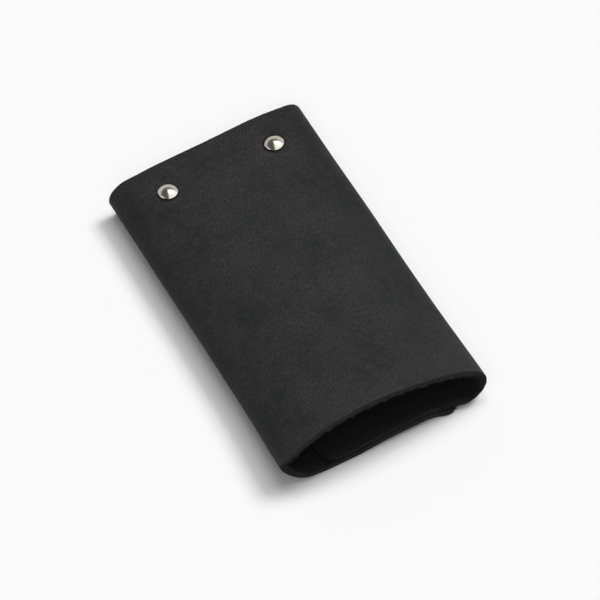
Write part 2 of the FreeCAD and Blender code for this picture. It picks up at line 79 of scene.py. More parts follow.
# How the hide has settled in use, in millimetres and zones. A hump is a height, its place across
# the case and its spread. A pair of places is where across the case a change begins and is whole,
# and a run is how far it reaches from that end of the case.
ARCH_SHOULDER, ARCH_SAG = (1.9, -27, 9), (2.1, 10, 16)
LEFT_SHIFT, LEFT_SWELL = (-0.55, 0, 1.0), 0.35
LEFT_DRAWN_BACK, DRAWN_ZONE, DRAWN_SPREAD = 2.4, OUTER_UPPER - 0.15, 0.5
RIGHT_OUT, RIGHT_FORWARD, RIGHT_DOWN, RIGHT_SWELL = 0.7, 0.65, 1.7, 0.45
LIP_LIFT, LIP_LIFT_FROM, LIP_LIFT_TO = 1.35, (-13, 4), (13.5, 20)
LIP_DROP, LIP_DROP_OVER = 0.75, (-26, -17)
LIP_FORWARD, CORNER_FORWARD, CORNER_OVER = 0.6, 0.9, (17, 22)
LEAN_RUN, SLACK_RUN, LIP_RUN, BACK_RUN = 34, 30, 16, 12
INNER_FLAP_OVER = (19, 27)
BACK_LIFT, BACK_HUMP = 0.4, (1.0, 18, 12)
SWELL_RUN, SWELL = 24 * MM, 0.12 * MM
FLOOR_GAP = 0.12 * MM

# Paring of the flaps' free edges, roughness of the cut edge at its grain side and added at its
# flesh side, and the width of its tears.
SKIVE_RUN, SKIVE_DEPTH = 4.4 * MM, 1.2 * MM
RAGGED, RAGGED_MORE, TEAR = 0.1, 0.45, 1.5 * MM

# Loose fibres: the share of the rim's points that bear one, where they begin in the thickness, how
# far they stray, their length in millimetres, how far their middle stands out, and their radius at
# root and tip.
FIBRE_SHARE, FIBRE_DEPTH, FIBRE_STRAY = 0.6, 0.55, 0.55
FIBRE_LENGTH, FIBRE_OUT = (0.35, 1.15), 0.4
FIBRE_ROOT, FIBRE_TIP = 0.09 * MM, 0.015 * MM

# Seats of the metal in the hide. A seat has a radius and a run over which the leather eases out
# round it. The press studs' also name the flap, the side of the hide and the height that the
# leather is pressed to.
SEAT_DEPTH = 6 * MM
RIVET_SEAT = (3.4 * MM, 2.6 * MM)
RAIL_MARGIN = 1.2 * MM
SNAP_SEATS = (
    ("snap_cap", "outer", GRAIN, 1.3 * MM, 5.1 * MM, 1.9 * MM),
    ("snap_socket", "outer", FLESH, 2.2 * MM, 4.4 * MM, 1.2 * MM),
    ("snap_stud", "inner", GRAIN, 4.7 * MM, 4.8 * MM, 1.0 * MM),
    ("snap_post", "inner", FLESH, 5.4 * MM, 4.2 * MM, 1.2 * MM),
)

# The hide's pieces: the zones that each is cut at, the body that holds it and the body that bends
# it, the way across in X and Z and its two seams, the run of the bend where a seam is lacking, and
# the solids it stands for.
NO_SEAM = 9
HIDE_PIECES = {
    "hide_outer_flap": {
        "cut": (-1, OUTER_LOWER + HALF),
        "bodies": ("outer_fold_lower", "outer_flap"),
        "way": (1, -1),
        "seams": (OUTER_LOWER + HALF, NO_SEAM),
        "run": 9.8 * MM,
        "solids": ("outer_flap",),
    },
    "hide_outer_side": {
        "cut": (OUTER_LOWER + HALF, OUTER_UPPER + HALF),
        "bodies": ("outer_fold_upper", "outer_fold_lower"),
        "way": (0, -1),
        "seams": (OUTER_UPPER + HALF, OUTER_LOWER + HALF),
        "run": 0,
        "solids": ("outer_fold_lower", "outer_fold_upper"),
    },
    "hide_outer_shoulder": {
        "cut": (OUTER_UPPER + HALF, PANEL + HALF),
        "bodies": ("centre", "outer_fold_upper"),
        "way": (-0.56, -0.83),
        "seams": (NO_SEAM, OUTER_UPPER + HALF),
        "run": 7.3 * MM,
        "solids": ("centre_panel",),
    },
    "hide_inner_shoulder": {
        "cut": (PANEL + HALF, INNER_UPPER + HALF),
        "bodies": ("centre", "inner_fold_upper"),
        "way": (0.56, -0.83),
        "seams": (NO_SEAM, INNER_UPPER + HALF),
        "run": 6.4 * MM,
        "solids": (),
    },
    "hide_inner_side": {
        "cut": (INNER_UPPER + HALF, INNER_LOWER + HALF),
        "bodies": ("inner_fold_upper", "inner_fold_lower"),
        "way": (0, -1),
        "seams": (INNER_UPPER + HALF, INNER_LOWER + HALF),
        "run": 0,
        "solids": ("inner_fold_upper", "inner_fold_lower"),
    },
    "hide_inner_flap": {
        "cut": (INNER_LOWER + HALF, INNER_FLAP + 2),
        "bodies": ("inner_fold_lower", "inner_flap"),
        "way": (-1, -1),
        "seams": (INNER_LOWER + HALF, NO_SEAM),
        "run": 8.8 * MM,
        "solids": ("inner_flap",),
    },
}

# Studio lamps: where the light comes from, its strength, its softness in degrees and whether metal
# mirrors it.
LAMPS = (
    ("strip_left", (0.06, 0.24, 1.0), 0.55, 20, False),
    ("strip_middle", (0.36, 0.17, 1.0), 0.6, 20, True),
    ("strip_right", (0.62, 0.05, 1.0), 1.48, 20, True),
    ("fill", (-0.33, -0.55, 1.0), 0.57, 30, False),
)
FLOOR_SIZE = 3.0
ROOM_LIGHT = 0.085
LIGHT_PANEL_GLOW = 1.22


def linear(code):
    """An sRGB hex colour as a linear colour with full alpha."""
    parts = [int(code[i : i + 2], 16) / 255 for i in (1, 3, 5)]
    return [p / 12.92 if p <= 0.04045 else ((p + 0.055) / 1.055) ** 2.4 for p in parts] + [1.0]


class HideSettings(bpy.types.PropertyGroup):
    """Sizes and colours of the leather."""

    width: bpy.props.FloatProperty(
        name="Width", description="Across the closed case",
        default=0.066, unit="LENGTH",
    )
    length: bpy.props.FloatProperty(
        name="Length", description="From the mouth to the back",
        default=0.11, unit="LENGTH",
    )
    thickness: bpy.props.FloatProperty(
        name="Thickness", description="Of the hide",
        default=0.0022, unit="LENGTH",
    )
    mouth_rise: bpy.props.FloatProperty(
        name="Mouth rise", description="Outer flap to crown at the mouth",
        default=0.0259, unit="LENGTH",
    )
    back_rise: bpy.props.FloatProperty(
        name="Back rise", description="Outer flap to crown at the back",
        default=0.0147, unit="LENGTH",
    )
    mouth_crown: bpy.props.FloatProperty(
        name="Mouth crown", description="Radius of the arch at the mouth",
        default=0.046992, unit="LENGTH",
    )
    back_crown: bpy.props.FloatProperty(
        name="Back crown", description="Radius of the arch at the back",
        default=0.41976, unit="LENGTH",
    )
    outer_floor: bpy.props.FloatProperty(
        name="Outer floor", description="Height of the outer flap's underside",
        default=0.0008, unit="LENGTH",
    )
    inner_floor: bpy.props.FloatProperty(
        name="Inner floor", description="Height of the inner flap's underside",
        default=0.0036, unit="LENGTH",
    )
    outer_reach: bpy.props.FloatProperty(
        name="Outer reach", description="Outer flap's free edge from the middle",
        default=0.0244, unit="LENGTH",
    )
    inner_reach: bpy.props.FloatProperty(
        name="Inner reach", description="Inner flap's free edge from the middle",
        default=0.0207, unit="LENGTH",
    )
    outer_corner: bpy.props.FloatProperty(
        name="Outer corner", description="Radius of the outer flap's corners",
        default=0.003, unit="LENGTH",
    )
    inner_corner: bpy.props.FloatProperty(
        name="Inner corner", description="Radius of the inner flap's corners",
        default=0.0065, unit="LENGTH",
    )
    edge_round: bpy.props.FloatProperty(
        name="Edge rounding", description="Of the cut edges",
        default=0.00028, unit="LENGTH",
    )
    grain_deep: bpy.props.FloatVectorProperty(
        name="Deep grain", description="Where the wax lies thick",
        default=linear("#1b1f1d"), size=4, subtype="COLOR",
    )
    grain_pale: bpy.props.FloatVectorProperty(
        name="Pale grain", description="Where the wax lies thin",
        default=linear("#424242"), size=4, subtype="COLOR",
    )
    flesh: bpy.props.FloatVectorProperty(
        name="Flesh", description="The flesh side's palest fibres",
        default=linear("#333333"), size=4, subtype="COLOR",
    )
    cut_edge: bpy.props.FloatVectorProperty(
        name="Cut edge", description="The edge's palest fibres",
        default=linear("#393835"), size=4, subtype="COLOR",
    )


class MetalSettings(bpy.types.PropertyGroup):
    """Colours of the plated metal."""

    rivet: bpy.props.FloatVectorProperty(
        name="Rivets", description="Caps and posts",
        default=linear("#d8d3c8"), size=4, subtype="COLOR",
    )
    rail: bpy.props.FloatVectorProperty(
        name="Rail", description="Plate, rod and sleeves",
        default=linear("#c9c6bf"), size=4, subtype="COLOR",
    )
    hook: bpy.props.FloatVectorProperty(
        name="Hooks", description="Bent wire",
        default=linear("#d6d2ca"), size=4, subtype="COLOR",
    )
    gate: bpy.props.FloatVectorProperty(
        name="Gates", description="Spring leaves",
        default=linear("#b9b8b5"), size=4, subtype="COLOR",
    )
    stud: bpy.props.FloatVectorProperty(
        name="Press studs", description="All four pieces",
        default=linear("#d4d0c8"), size=4, subtype="COLOR",
    )


class StageSettings(bpy.types.PropertyGroup):
    """Where the camera stands, and the floor's colour."""

    azimuth: bpy.props.FloatProperty(
        name="Azimuth", description="Round the case from the mouth",
        default=math.radians(-28.66), unit="ROTATION",
    )
    elevation: bpy.props.FloatProperty(
        name="Elevation", description="Above the horizon",
        default=math.radians(57.1), unit="ROTATION",
    )
    distance: bpy.props.FloatProperty(
        name="Distance", description="From the camera's target",
        default=1.5387, unit="LENGTH",
    )
    target: bpy.props.FloatVectorProperty(
        name="Target", description="Middle of the picture",
        default=(-0.00072, -0.00536, 0.01), unit="LENGTH",
    )
    roll: bpy.props.FloatProperty(
        name="Roll", description="About the line of sight",
        default=math.radians(-0.5), unit="ROTATION",
    )
    lens: bpy.props.FloatProperty(
        name="Lens", description="Focal length in millimetres",
        default=310.9, unit="CAMERA",
    )
    paper: bpy.props.FloatVectorProperty(
        name="Paper", description="Of the floor",
        default=linear("#fcfcfc"), size=4, subtype="COLOR",
    )


def add_node(tree, kind, sockets=None, **settings):
    """Add a shader node with its settings, and give its sockets values or other nodes' outputs."""
    node = tree.nodes.new(kind)
    for name, value in settings.items():
        setattr(node, name, value)
    for name, value in (sockets or {}).items():
        if isinstance(value, bpy.types.NodeSocket):
            tree.links.new(value, node.inputs[name])
        else:
            node.inputs[name].default_value = value
    return node


def start_material(name):
    """A new material with an empty node tree."""
    material = bpy.data.materials.new(name)
    material.use_nodes = True
    material.node_tree.nodes.clear()
    return material, material.node_tree


def end_material(tree, shader):
    """Show a shader on the material's surface."""
    add_node(tree, "ShaderNodeOutputMaterial", {"Surface": shader.outputs[0]})


def make_nubuck(hide, rivets, middle):
    """Waxed nubuck: sanded grain side of a thick hide, dyed charcoal. The nap scatters light, so it is
    matte with soft clouds where the wax lies deeper and a fine tooth. Painted light makes it paler
    along the mouth, painted shade darkens both folds, and a dark ring round each rivet cap is
    painted contact shade with some burnishing."""
    material, tree = start_material("nubuck_waxed_charcoal")
    place = add_node(tree, "ShaderNodeAttribute", attribute_name="hide").outputs["Vector"]
    stretch = add_node(tree, "ShaderNodeMapping", {"Vector": place, "Scale": (1.0, 0.5, 1.0)})
    clouds = add_node(
        tree,
        "ShaderNodeTexNoise",
        {"Vector": place, "Scale": 1 / (17 * MM), "Detail": 4.0, "Roughness": 0.55},
    )
    blots = add_node(
        tree,
        "ShaderNodeTexNoise",
        {"Vector": place, "Scale": 1 / (3.2 * MM), "Detail": 4.0, "Roughness": 0.6},
    )
    # The nap's tooth is about 0.15 mm wide and lies along the case. It is too fine to show in the
    # render, so it is drawn four times as coarse.
    tooth = add_node(
        tree,
        "ShaderNodeTexNoise",
        {"Vector": stretch.outputs[0], "Scale": 1 / (0.6 * MM), "Detail": 3.0, "Roughness": 0.65},
    )
    cloud_share = add_node(
        tree,
        "ShaderNodeMapRange",
        {"Value": clouds.outputs["Fac"], "From Min": 0.32, "From Max": 0.68},
    )
    blot_share = add_node(
        tree,
        "ShaderNodeMapRange",
        {"Value": blots.outputs["Fac"], "From Min": 0.3, "From Max": 0.75},
    )
    tooth_share = add_node(
        tree,
        "ShaderNodeMapRange",
        {"Value": tooth.outputs["Fac"], "From Min": 0.3, "From Max": 0.7},
    )
    cloudy = add_node(
        tree,
        "ShaderNodeMix",
        {FACTOR: cloud_share.outputs[0], FROM: hide.grain_deep, TO: hide.grain_pale},
        data_type="RGBA",
    )
    mottled = add_node(
        tree,
        "ShaderNodeMix",
        {FACTOR: blot_share.outputs[0], FROM: cloudy.outputs[MIXED], TO: linear("#434341")},
        data_type="RGBA",
    )
    toothed = add_node(
        tree,
        "ShaderNodeMix",
        {FACTOR: tooth_share.outputs[0], FROM: linear("#252828"), TO: mottled.outputs[MIXED]},
        data_type="RGBA",
    )
    hide_place = add_node(tree, "ShaderNodeSeparateXYZ", {"Vector": place}).outputs
    mouth = -hide.length / 2
    # Painted light: the grain side is painted paler in a strip along the mouth.
    painted_mouth_light = add_node(
        tree,
        "ShaderNodeMapRange",
        {
            "Value": hide_place["Y"],
            "From Min": mouth - 1 * MM,
            "From Max": mouth + 17 * MM,
            "To Min": 0.09,
            "To Max": 0.0,
        },
        interpolation_type="SMOOTHSTEP",
    )
    mouth_lit = add_node(
        tree,
        "ShaderNodeMix",
        {FACTOR: painted_mouth_light.outputs[0], FROM: toothed.outputs[MIXED], TO: linear("#4c4b49")},
        data_type="RGBA",
    )
    sideways = add_node(
        tree,
        "ShaderNodeMath",
        {0: hide_place["X"], 1: middle},
        operation="SUBTRACT",
    )
    outward = add_node(tree, "ShaderNodeMath", {0: sideways.outputs[0]}, operation="ABSOLUTE")
    # Painted shade: the folds at both sides are painted darker, more so further from the middle.
    painted_fold_shade = add_node(
        tree,
        "ShaderNodeMapRange",
        {"Value": outward.outputs[0], "From Min": 14 * MM, "From Max": 32 * MM, "To Max": 0.24},
        interpolation_type="SMOOTHSTEP",
    )
    fold_shaded = add_node(
        tree,
        "ShaderNodeMix",
        {FACTOR: painted_fold_shade.outputs[0], FROM: mouth_lit.outputs[MIXED], TO: linear("#161818")},
        data_type="RGBA",
    )
    left, right = (
        add_node(tree, "ShaderNodeVectorMath", {0: place, 1: spot}, operation="DISTANCE")
        for spot in rivets
    )
    nearest = add_node(
        tree,
        "ShaderNodeMath",
        {0: left.outputs["Value"], 1: right.outputs["Value"]},
        operation="MINIMUM",
    )
    # Painted contact shade, with some burnishing: a dark ring painted round each rivet cap's foot.
    ring = add_node(
        tree,
        "ShaderNodeMapRange",
        {
            "Value": nearest.outputs[0],
            "From Min": 3.2 * MM,
            "From Max": 4.0 * MM,
            "To Min": 0.85,
            "To Max": 0.0,
        },
        interpolation_type="SMOOTHSTEP",
    )
    burnished_and_shaded = add_node(
        tree,
        "ShaderNodeMix",
        {FACTOR: ring.outputs[0], FROM: fold_shaded.outputs[MIXED], TO: linear("#0d0d0c")},
        data_type="RGBA",
    )
    heights = add_node(
        tree, "ShaderNodeMath", {0: tooth.outputs["Fac"], 1: blots.outputs["Fac"]}, operation="ADD"
    )
    relief = add_node(
        tree,
        "ShaderNodeBump",
        {"Strength": 0.5, "Distance": 0.12 * MM, "Height": heights.outputs[0]},
    )
    rough = add_node(
        tree, "ShaderNodeMapRange", {"Value": blots.outputs["Fac"], "To Min": 0.7, "To Max": 0.88}
    )
    shader = add_node(
        tree,
        "ShaderNodeBsdfPrincipled",
        {
            "Base Color": burnished_and_shaded.outputs[MIXED],
            "Diffuse Roughness": 0.8,
            "Roughness": rough.outputs[0],
            "Specular IOR Level": 0.14,
            "Normal": relief.outputs[0],
        },
    )
    end_material(tree, shader)
    return material


def make_flesh(hide):
    """The hide's rough flesh side, dyed through. Its short loose fibres swallow the light, so it is
    dull and looks darker than the grain side."""
    material, tree = start_material("suede_flesh_side_black")
    place = add_node(tree, "ShaderNodeAttribute", attribute_name="hide").outputs["Vector"]
    # Suede's bundles, 0.3 mm wide, are too fine to show, so they are drawn three times as coarse.
    fibre = add_node(
        tree,
        "ShaderNodeTexNoise",
        {"Vector": place, "Scale": 1 / (0.9 * MM), "Detail": 5.0, "Roughness": 0.7},
    )
    tone = add_node(
        tree,
        "ShaderNodeMix",
        {FACTOR: fibre.outputs["Fac"], FROM: linear("#1d1d1f"), TO: hide.flesh},
        data_type="RGBA",
    )
    relief = add_node(
        tree,
        "ShaderNodeBump",
        {"Strength": 0.8, "Distance": 0.3 * MM, "Height": fibre.outputs["Fac"]},
    )
    shader = add_node(
        tree,
        "ShaderNodeBsdfPrincipled",
        {
            "Base Color": tone.outputs[MIXED],
            "Roughness": 0.95,
            "Specular IOR Level": 0.05,
            "Normal": relief.outputs[0],
        },
    )
    end_material(tree, shader)
    return material


def make_cut_edge(hide, middle):
    """The hide's knife-cut edge: bundles of fibre end-on, open and dull, with the dye struck
    through. On the inner flap, inside the case, it is painted darker: painted shade."""
    material, tree = start_material("leather_cut_edge_raw")
    place = add_node(tree, "ShaderNodeAttribute", attribute_name="hide").outputs["Vector"]
    # The fibres' ends, 0.2 mm wide, are too fine to show, so they are drawn three times as coarse.
    fibre = add_node(
        tree,
        "ShaderNodeTexNoise",
        {"Vector": place, "Scale": 1 / (0.6 * MM), "Detail": 4.0, "Roughness": 0.7},
    )
    tone = add_node(
        tree,
        "ShaderNodeMix",
        {FACTOR: fibre.outputs["Fac"], FROM: linear("#1d1e1e"), TO: hide.cut_edge},
        data_type="RGBA",
    )
    across = add_node(tree, "ShaderNodeSeparateXYZ", {"Vector": place}).outputs["X"]
    # Painted shade: the inner flap's cut edge, inside the case, is painted darker.
    painted_inner_shade = add_node(
        tree,
        "ShaderNodeMapRange",
        {
            "Value": across,
            "From Min": middle + 34 * MM,
            "From Max": middle + 50 * MM,
            "To Max": 0.6,
        },
        interpolation_type="SMOOTHSTEP",
    )
    inner_shaded = add_node(
        tree,
        "ShaderNodeMix",
        {FACTOR: painted_inner_shade.outputs[0], FROM: tone.outputs[MIXED], TO: linear("#101011")},
        data_type="RGBA",
    )
    relief = add_node(
        tree,
        "ShaderNodeBump",
        {"Strength": 0.9, "Distance": 0.3 * MM, "Height": fibre.outputs["Fac"]},
    )
    shader = add_node(
        tree,
        "ShaderNodeBsdfPrincipled",
        {
            "Base Color": inner_shaded.outputs[MIXED],
            "Roughness": 0.92,
            "Specular IOR Level": 0.08,
            "Normal": relief.outputs[0],
        },
    )
    end_material(tree, shader)
    return material


def make_nickel(name, colour, low, high, streak):
    """Plated steel: a metal mirror softened by fine polishing lines and handling haze."""
    material, tree = start_material(name)
    place = add_node(tree, "ShaderNodeTexCoord").outputs["Object"]
    haze = add_node(
        tree,
        "ShaderNodeTexNoise",
        {"Vector": place, "Scale": 1 / (1.6 * MM), "Detail": 3.0, "Roughness": 0.6},
    )
    # Polishing lines, 0.05 mm wide, are too fine to show, so they are drawn five times as coarse.
    lines = add_node(
        tree,
        "ShaderNodeTexNoise",
        {"Vector": place, "Scale": 1 / (0.25 * MM), "Detail": 2.0, "Roughness": 0.5},
    )
    rough = add_node(
        tree, "ShaderNodeMapRange", {"Value": haze.outputs["Fac"], "To Min": low, "To Max": high}
    )
    relief = add_node(
        tree,
        "ShaderNodeBump",
        {"Strength": streak, "Distance": 0.02 * MM, "Height": lines.outputs["Fac"]},
    )
    shader = add_node(
        tree,
        "ShaderNodeBsdfPrincipled",
        {
            "Base Color": colour,
            "Metallic": 1.0,
            "Roughness": rough.outputs[0],
            "Normal": relief.outputs[0],
        },
    )
    end_material(tree, shader)
    return material


def make_paper(stage):
    """Matt white paper: an even ground without a sheen, which takes nothing but the shadows."""
    material, tree = start_material("paper_sweep_white")
    end_material(tree, add_node(tree, "ShaderNodeBsdfDiffuse", {"Color": stage.paper}))
    return material


def fold_circle(hide, station, side):
    """Place across, height and lean of the circle that touches the side of the case, the crown arc
    and the plane of its own flap. The lean is the angle from upright where it meets the crown."""
    crown = getattr(hide, f"{station}_crown")
    floor = getattr(hide, f"{side}_floor")
    top = hide.outer_floor + getattr(hide, f"{station}_rise")
    half = hide.width / 2
    span = 2 * crown - (top - floor)
    slack = span - half
    radius = math.sqrt(slack**2 - half**2 + (top - floor) * span) - slack
    across = half - radius
    return across, floor + radius, math.asin(across / (crown - radius))


def trace(bm, tip, steps, centre=(0, 0, 0), turn=0.0, run=0.0):
    """Draw the section on from its last point: an arc about a centre, or a straight run along X."""
    out = bmesh.ops.spin(
        bm,
        geom=[tip],
        cent=centre,
        axis=(0, 1, 0),
        dvec=(run / steps, 0, 0),
        angle=turn,
        steps=steps,
    )
    return [item for item in out["geom_last"] if isinstance(item, bmesh.types.BMVert)][0]


def trace_section(bm, hide, station, layers):
    """The hide's outer line at one end of the case, with each point's place on the flat hide."""
    y = -hide.length / 2 if station == "mouth" else hide.length / 2
    quarter = math.pi / 2
    crown = getattr(hide, f"{station}_crown")
    top = hide.outer_floor + getattr(hide, f"{station}_rise")
    across_o, up_o, lean_o = fold_circle(hide, station, "outer")
    across_i, up_i, lean_i = fold_circle(hide, station, "inner")
    left, right, middle = (-across_o, y, up_o), (across_i, y, up_i), (0, y, top - crown)
    outer_run = hide.outer_reach + across_o
    inner_run = hide.inner_reach + across_i
    edge_o, edge_i = EDGE_RUN / outer_run, 1 - EDGE_RUN / inner_run
    legs = (
        (OUTER_FLAP, 0, edge_o, EDGE_STEPS, {"run": -EDGE_RUN}),
        (OUTER_FLAP, edge_o, 1, FLAP_STEPS, {"run": EDGE_RUN - outer_run}),
        (OUTER_LOWER, 0, 1, ZONE_STEPS[OUTER_LOWER], {"centre": left, "turn": quarter}),
        (OUTER_UPPER, 0, 1, ZONE_STEPS[OUTER_UPPER], {"centre": left, "turn": quarter - lean_o}),
        (PANEL, 0, 1, ZONE_STEPS[PANEL], {"centre": middle, "turn": lean_o + lean_i}),
        (INNER_UPPER, 0, 1, ZONE_STEPS[INNER_UPPER], {"centre": right, "turn": quarter - lean_i}),
        (INNER_LOWER, 0, 1, ZONE_STEPS[INNER_LOWER], {"centre": right, "turn": quarter}),
        (INNER_FLAP, 0, edge_i, FLAP_STEPS, {"run": EDGE_RUN - inner_run}),
        (INNER_FLAP, edge_i, 1, EDGE_STEPS, {"run": -EDGE_RUN}),
    )
    tip = bm.verts.new((hide.outer_reach, y, hide.outer_floor))
    points, zones = [tip], [0.0]
    for zone, low, high, steps, leg in legs:
        known = len(bm.verts)
        tip = trace(bm, tip, steps, **leg)
        bm.verts.ensure_lookup_table()
        points += bm.verts[known:]
        zones += [zone + low + (high - low) * (step + 1) / steps for step in range(steps)]
    across = 0.0
    for index, point in enumerate(points):
        across += (point.co - points[index - 1].co).length if index else 0.0
        point[layers["zone"]] = zones[index]
        point[layers["hide"]] = (across, y, 0)


def draw_sheet(bm, hide, layers):
    """The hide without thickness: two end sections, bridged and divided along the case."""
    trace_section(bm, hide, "mouth", layers)
    trace_section(bm, hide, "back", layers)
    bmesh.ops.bridge_loops(bm, edges=bm.edges[:])
    lengthwise = [
        edge for edge in bm.edges if abs(edge.verts[0].co.y - edge.verts[1].co.y) > hide.length / 2
    ]
    bmesh.ops.subdivide_edges(bm, edges=lengthwise, cuts=ROWS - 1, use_grid_fill=True)
    bmesh.ops.recalc_face_normals(bm, faces=bm.faces[:])
    bm.normal_update()
    crown = max(bm.faces, key=lambda face: face.calc_center_median().z)
    if crown.normal.z < 0:
        bmesh.ops.reverse_faces(bm, faces=bm.faces[:])
        bm.normal_update()


def ease(value, low, high):
    """0 below low, 1 above high, smooth between."""
    share = min(max((value - low) / (high - low), 0.0), 1.0)
    return share * share * (3 - 2 * share)


def hump(value, height, middle, spread):
    """The full height at the middle, falling off smoothly over the spread on both sides."""
    return height * math.exp(-(((value - middle) / spread) ** 2))


def round_corners(bm, hide, layers):
    """Draw in the ends of both flaps towards their free edges, so that the corners are round."""
    half = hide.length / 2
    for vert in bm.verts:
        zone = vert[layers["zone"]]
        if zone < OUTER_LOWER:
            corner, gap = hide.outer_corner, hide.outer_reach - vert.co.x
        elif zone > INNER_FLAP:
            corner, gap = hide.inner_corner, vert.co.x + hide.inner_reach
        else:
            continue
        if gap >= corner:
            continue
        limit = half - corner + math.sqrt(max(corner**2 - (corner - gap) ** 2, 0.0))
        start = half - 2 * corner
        if abs(vert.co.y) > start:
            share = (abs(vert.co.y) - start) / (half - start)
            vert.co.y = math.copysign(start + share * (limit - start), vert.co.y)


def settle_mouth(vert, zone, from_mouth):
    """How the mouth has settled in use, as a shift in millimetres: the arch leans to a full left
    shoulder, the left fold is drawn back, the right fold hangs slack, and the lower lip lies on the
    table at both ends and lifts between."""
    x, out = vert.co.x / MM, vert.normal
    arch = Vector((0, 0, hump(x, *ARCH_SHOULDER) - hump(x, *ARCH_SAG)))
    left = Vector(LEFT_SHIFT) + out * LEFT_SWELL
    right = Vector((RIGHT_OUT, -RIGHT_FORWARD * (1 - out.z), -RIGHT_DOWN)) + out * RIGHT_SWELL
    wave = LIP_LIFT * ease(x, *LIP_LIFT_FROM) * (1 - ease(x, *LIP_LIFT_TO))
    wave -= LIP_DROP * ease(x, *LIP_DROP_OVER)
    outer = Vector((0, -LIP_FORWARD - CORNER_FORWARD * ease(x, *CORNER_OVER), wave))
    inner = Vector((0, -LIP_FORWARD, wave))
    runs = (LEAN_RUN, SLACK_RUN, LIP_RUN)
    lean, slack, lip = (1 - ease(from_mouth, 0.0, run * MM) for run in runs)
    drawn = Vector((0, hump(zone, LEFT_DRAWN_BACK, DRAWN_ZONE, DRAWN_SPREAD), 0)) * lip
    if zone < OUTER_UPPER:
        share = ease(zone, OUTER_LOWER, OUTER_LOWER + 0.7)
        return outer * lip * (1 - share) + left * lean * share + drawn
    if zone < PANEL + HALF:
        share = ease(zone, PANEL, PANEL + 0.25)
        return (left * (1 - share) + arch * share) * lean + drawn
    if zone < INNER_FLAP:
        share = ease(zone, PANEL + 0.75, INNER_UPPER + 0.4)
        return arch * lean * (1 - share) + right * slack * share
    share = ease(x, *INNER_FLAP_OVER)
    return inner * lip * (1 - share) + right * slack * share


def settle_back(vert, zone, from_back):
    """The same for the back: its upper edge stands a little higher, most of all on the right."""
    top = ease(zone, PANEL, PANEL + 0.2) * (1 - ease(zone, INNER_UPPER, INNER_LOWER))
    lift = 1 - ease(from_back, 0.0, BACK_RUN * MM)
    return lift * top * Vector((0, 0, BACK_LIFT + hump(vert.co.x / MM, *BACK_HUMP)))


def relax(bm, hide, layers):
    """The hide's own unevenness: long shallow swells, and how its two open ends have settled."""
    half = hide.length / 2
    for vert in bm.verts:
        zone = vert[layers["zone"]]
        swell = noise.noise(Vector(vert[layers["hide"]]) / SWELL_RUN) * SWELL
        mouth = settle_mouth(vert, zone, vert.co.y + half)
        back = settle_back(vert, zone, half - vert.co.y)
        vert.co += vert.normal * swell + (mouth + back) * MM
        vert.co.z = max(vert.co.z, FLOOR_GAP)


def thicken(bm, hide, layers):
    """Thicken the sheet inwards. Gives the vertices of the grain side and of the flesh side."""
    drawn = set(bm.verts)
    bmesh.ops.solidify(bm, geom=bm.faces[:], thickness=hide.thickness)
    outside = [vert for vert in bm.verts if vert in drawn]
    inside = [vert for vert in bm.verts if vert not in drawn]
    # Solidify lays the rim's faces in an order that changes from run to run, so they are laid anew.
    rim = [face for face in bm.faces if len({vert in drawn for vert in face.verts}) == 2]
    bmesh.ops.delete(bm, geom=rim, context="FACES")
    bmesh.ops.bridge_loops(bm, edges=[edge for edge in bm.edges if edge.is_boundary])
    for vert in inside:
        across, along, _ = vert[layers["hide"]]
        vert[layers["hide"]] = (across, along, -hide.thickness)
    return outside, inside


def skive(inside, hide, layers):
    """Pare the flesh side of both flaps to a thin free edge, so that they lie flat together."""
    for vert in inside:
        zone = vert[layers["zone"]]
        if zone < OUTER_LOWER:
            free, out = hide.outer_reach, vert.co.x
        elif zone > INNER_FLAP:
            free, out = hide.inner_reach, -vert.co.x
        else:
            continue
        vert.co.z -= SKIVE_DEPTH * ease(out, free - SKIVE_RUN, free)


def press_seat(verts, middle, axis, radius, spread):
    """Press a round flat seat for a metal piece into one side of the hide, eased out round it."""
    for vert in verts:
        offset = vert.co - middle
        height = offset.dot(axis)
        reach = (offset - axis * height).length
        if 0 < height < SEAT_DEPTH and reach < radius + spread:
            vert.co -= axis * height * (1 - ease(reach, radius, radius + spread))


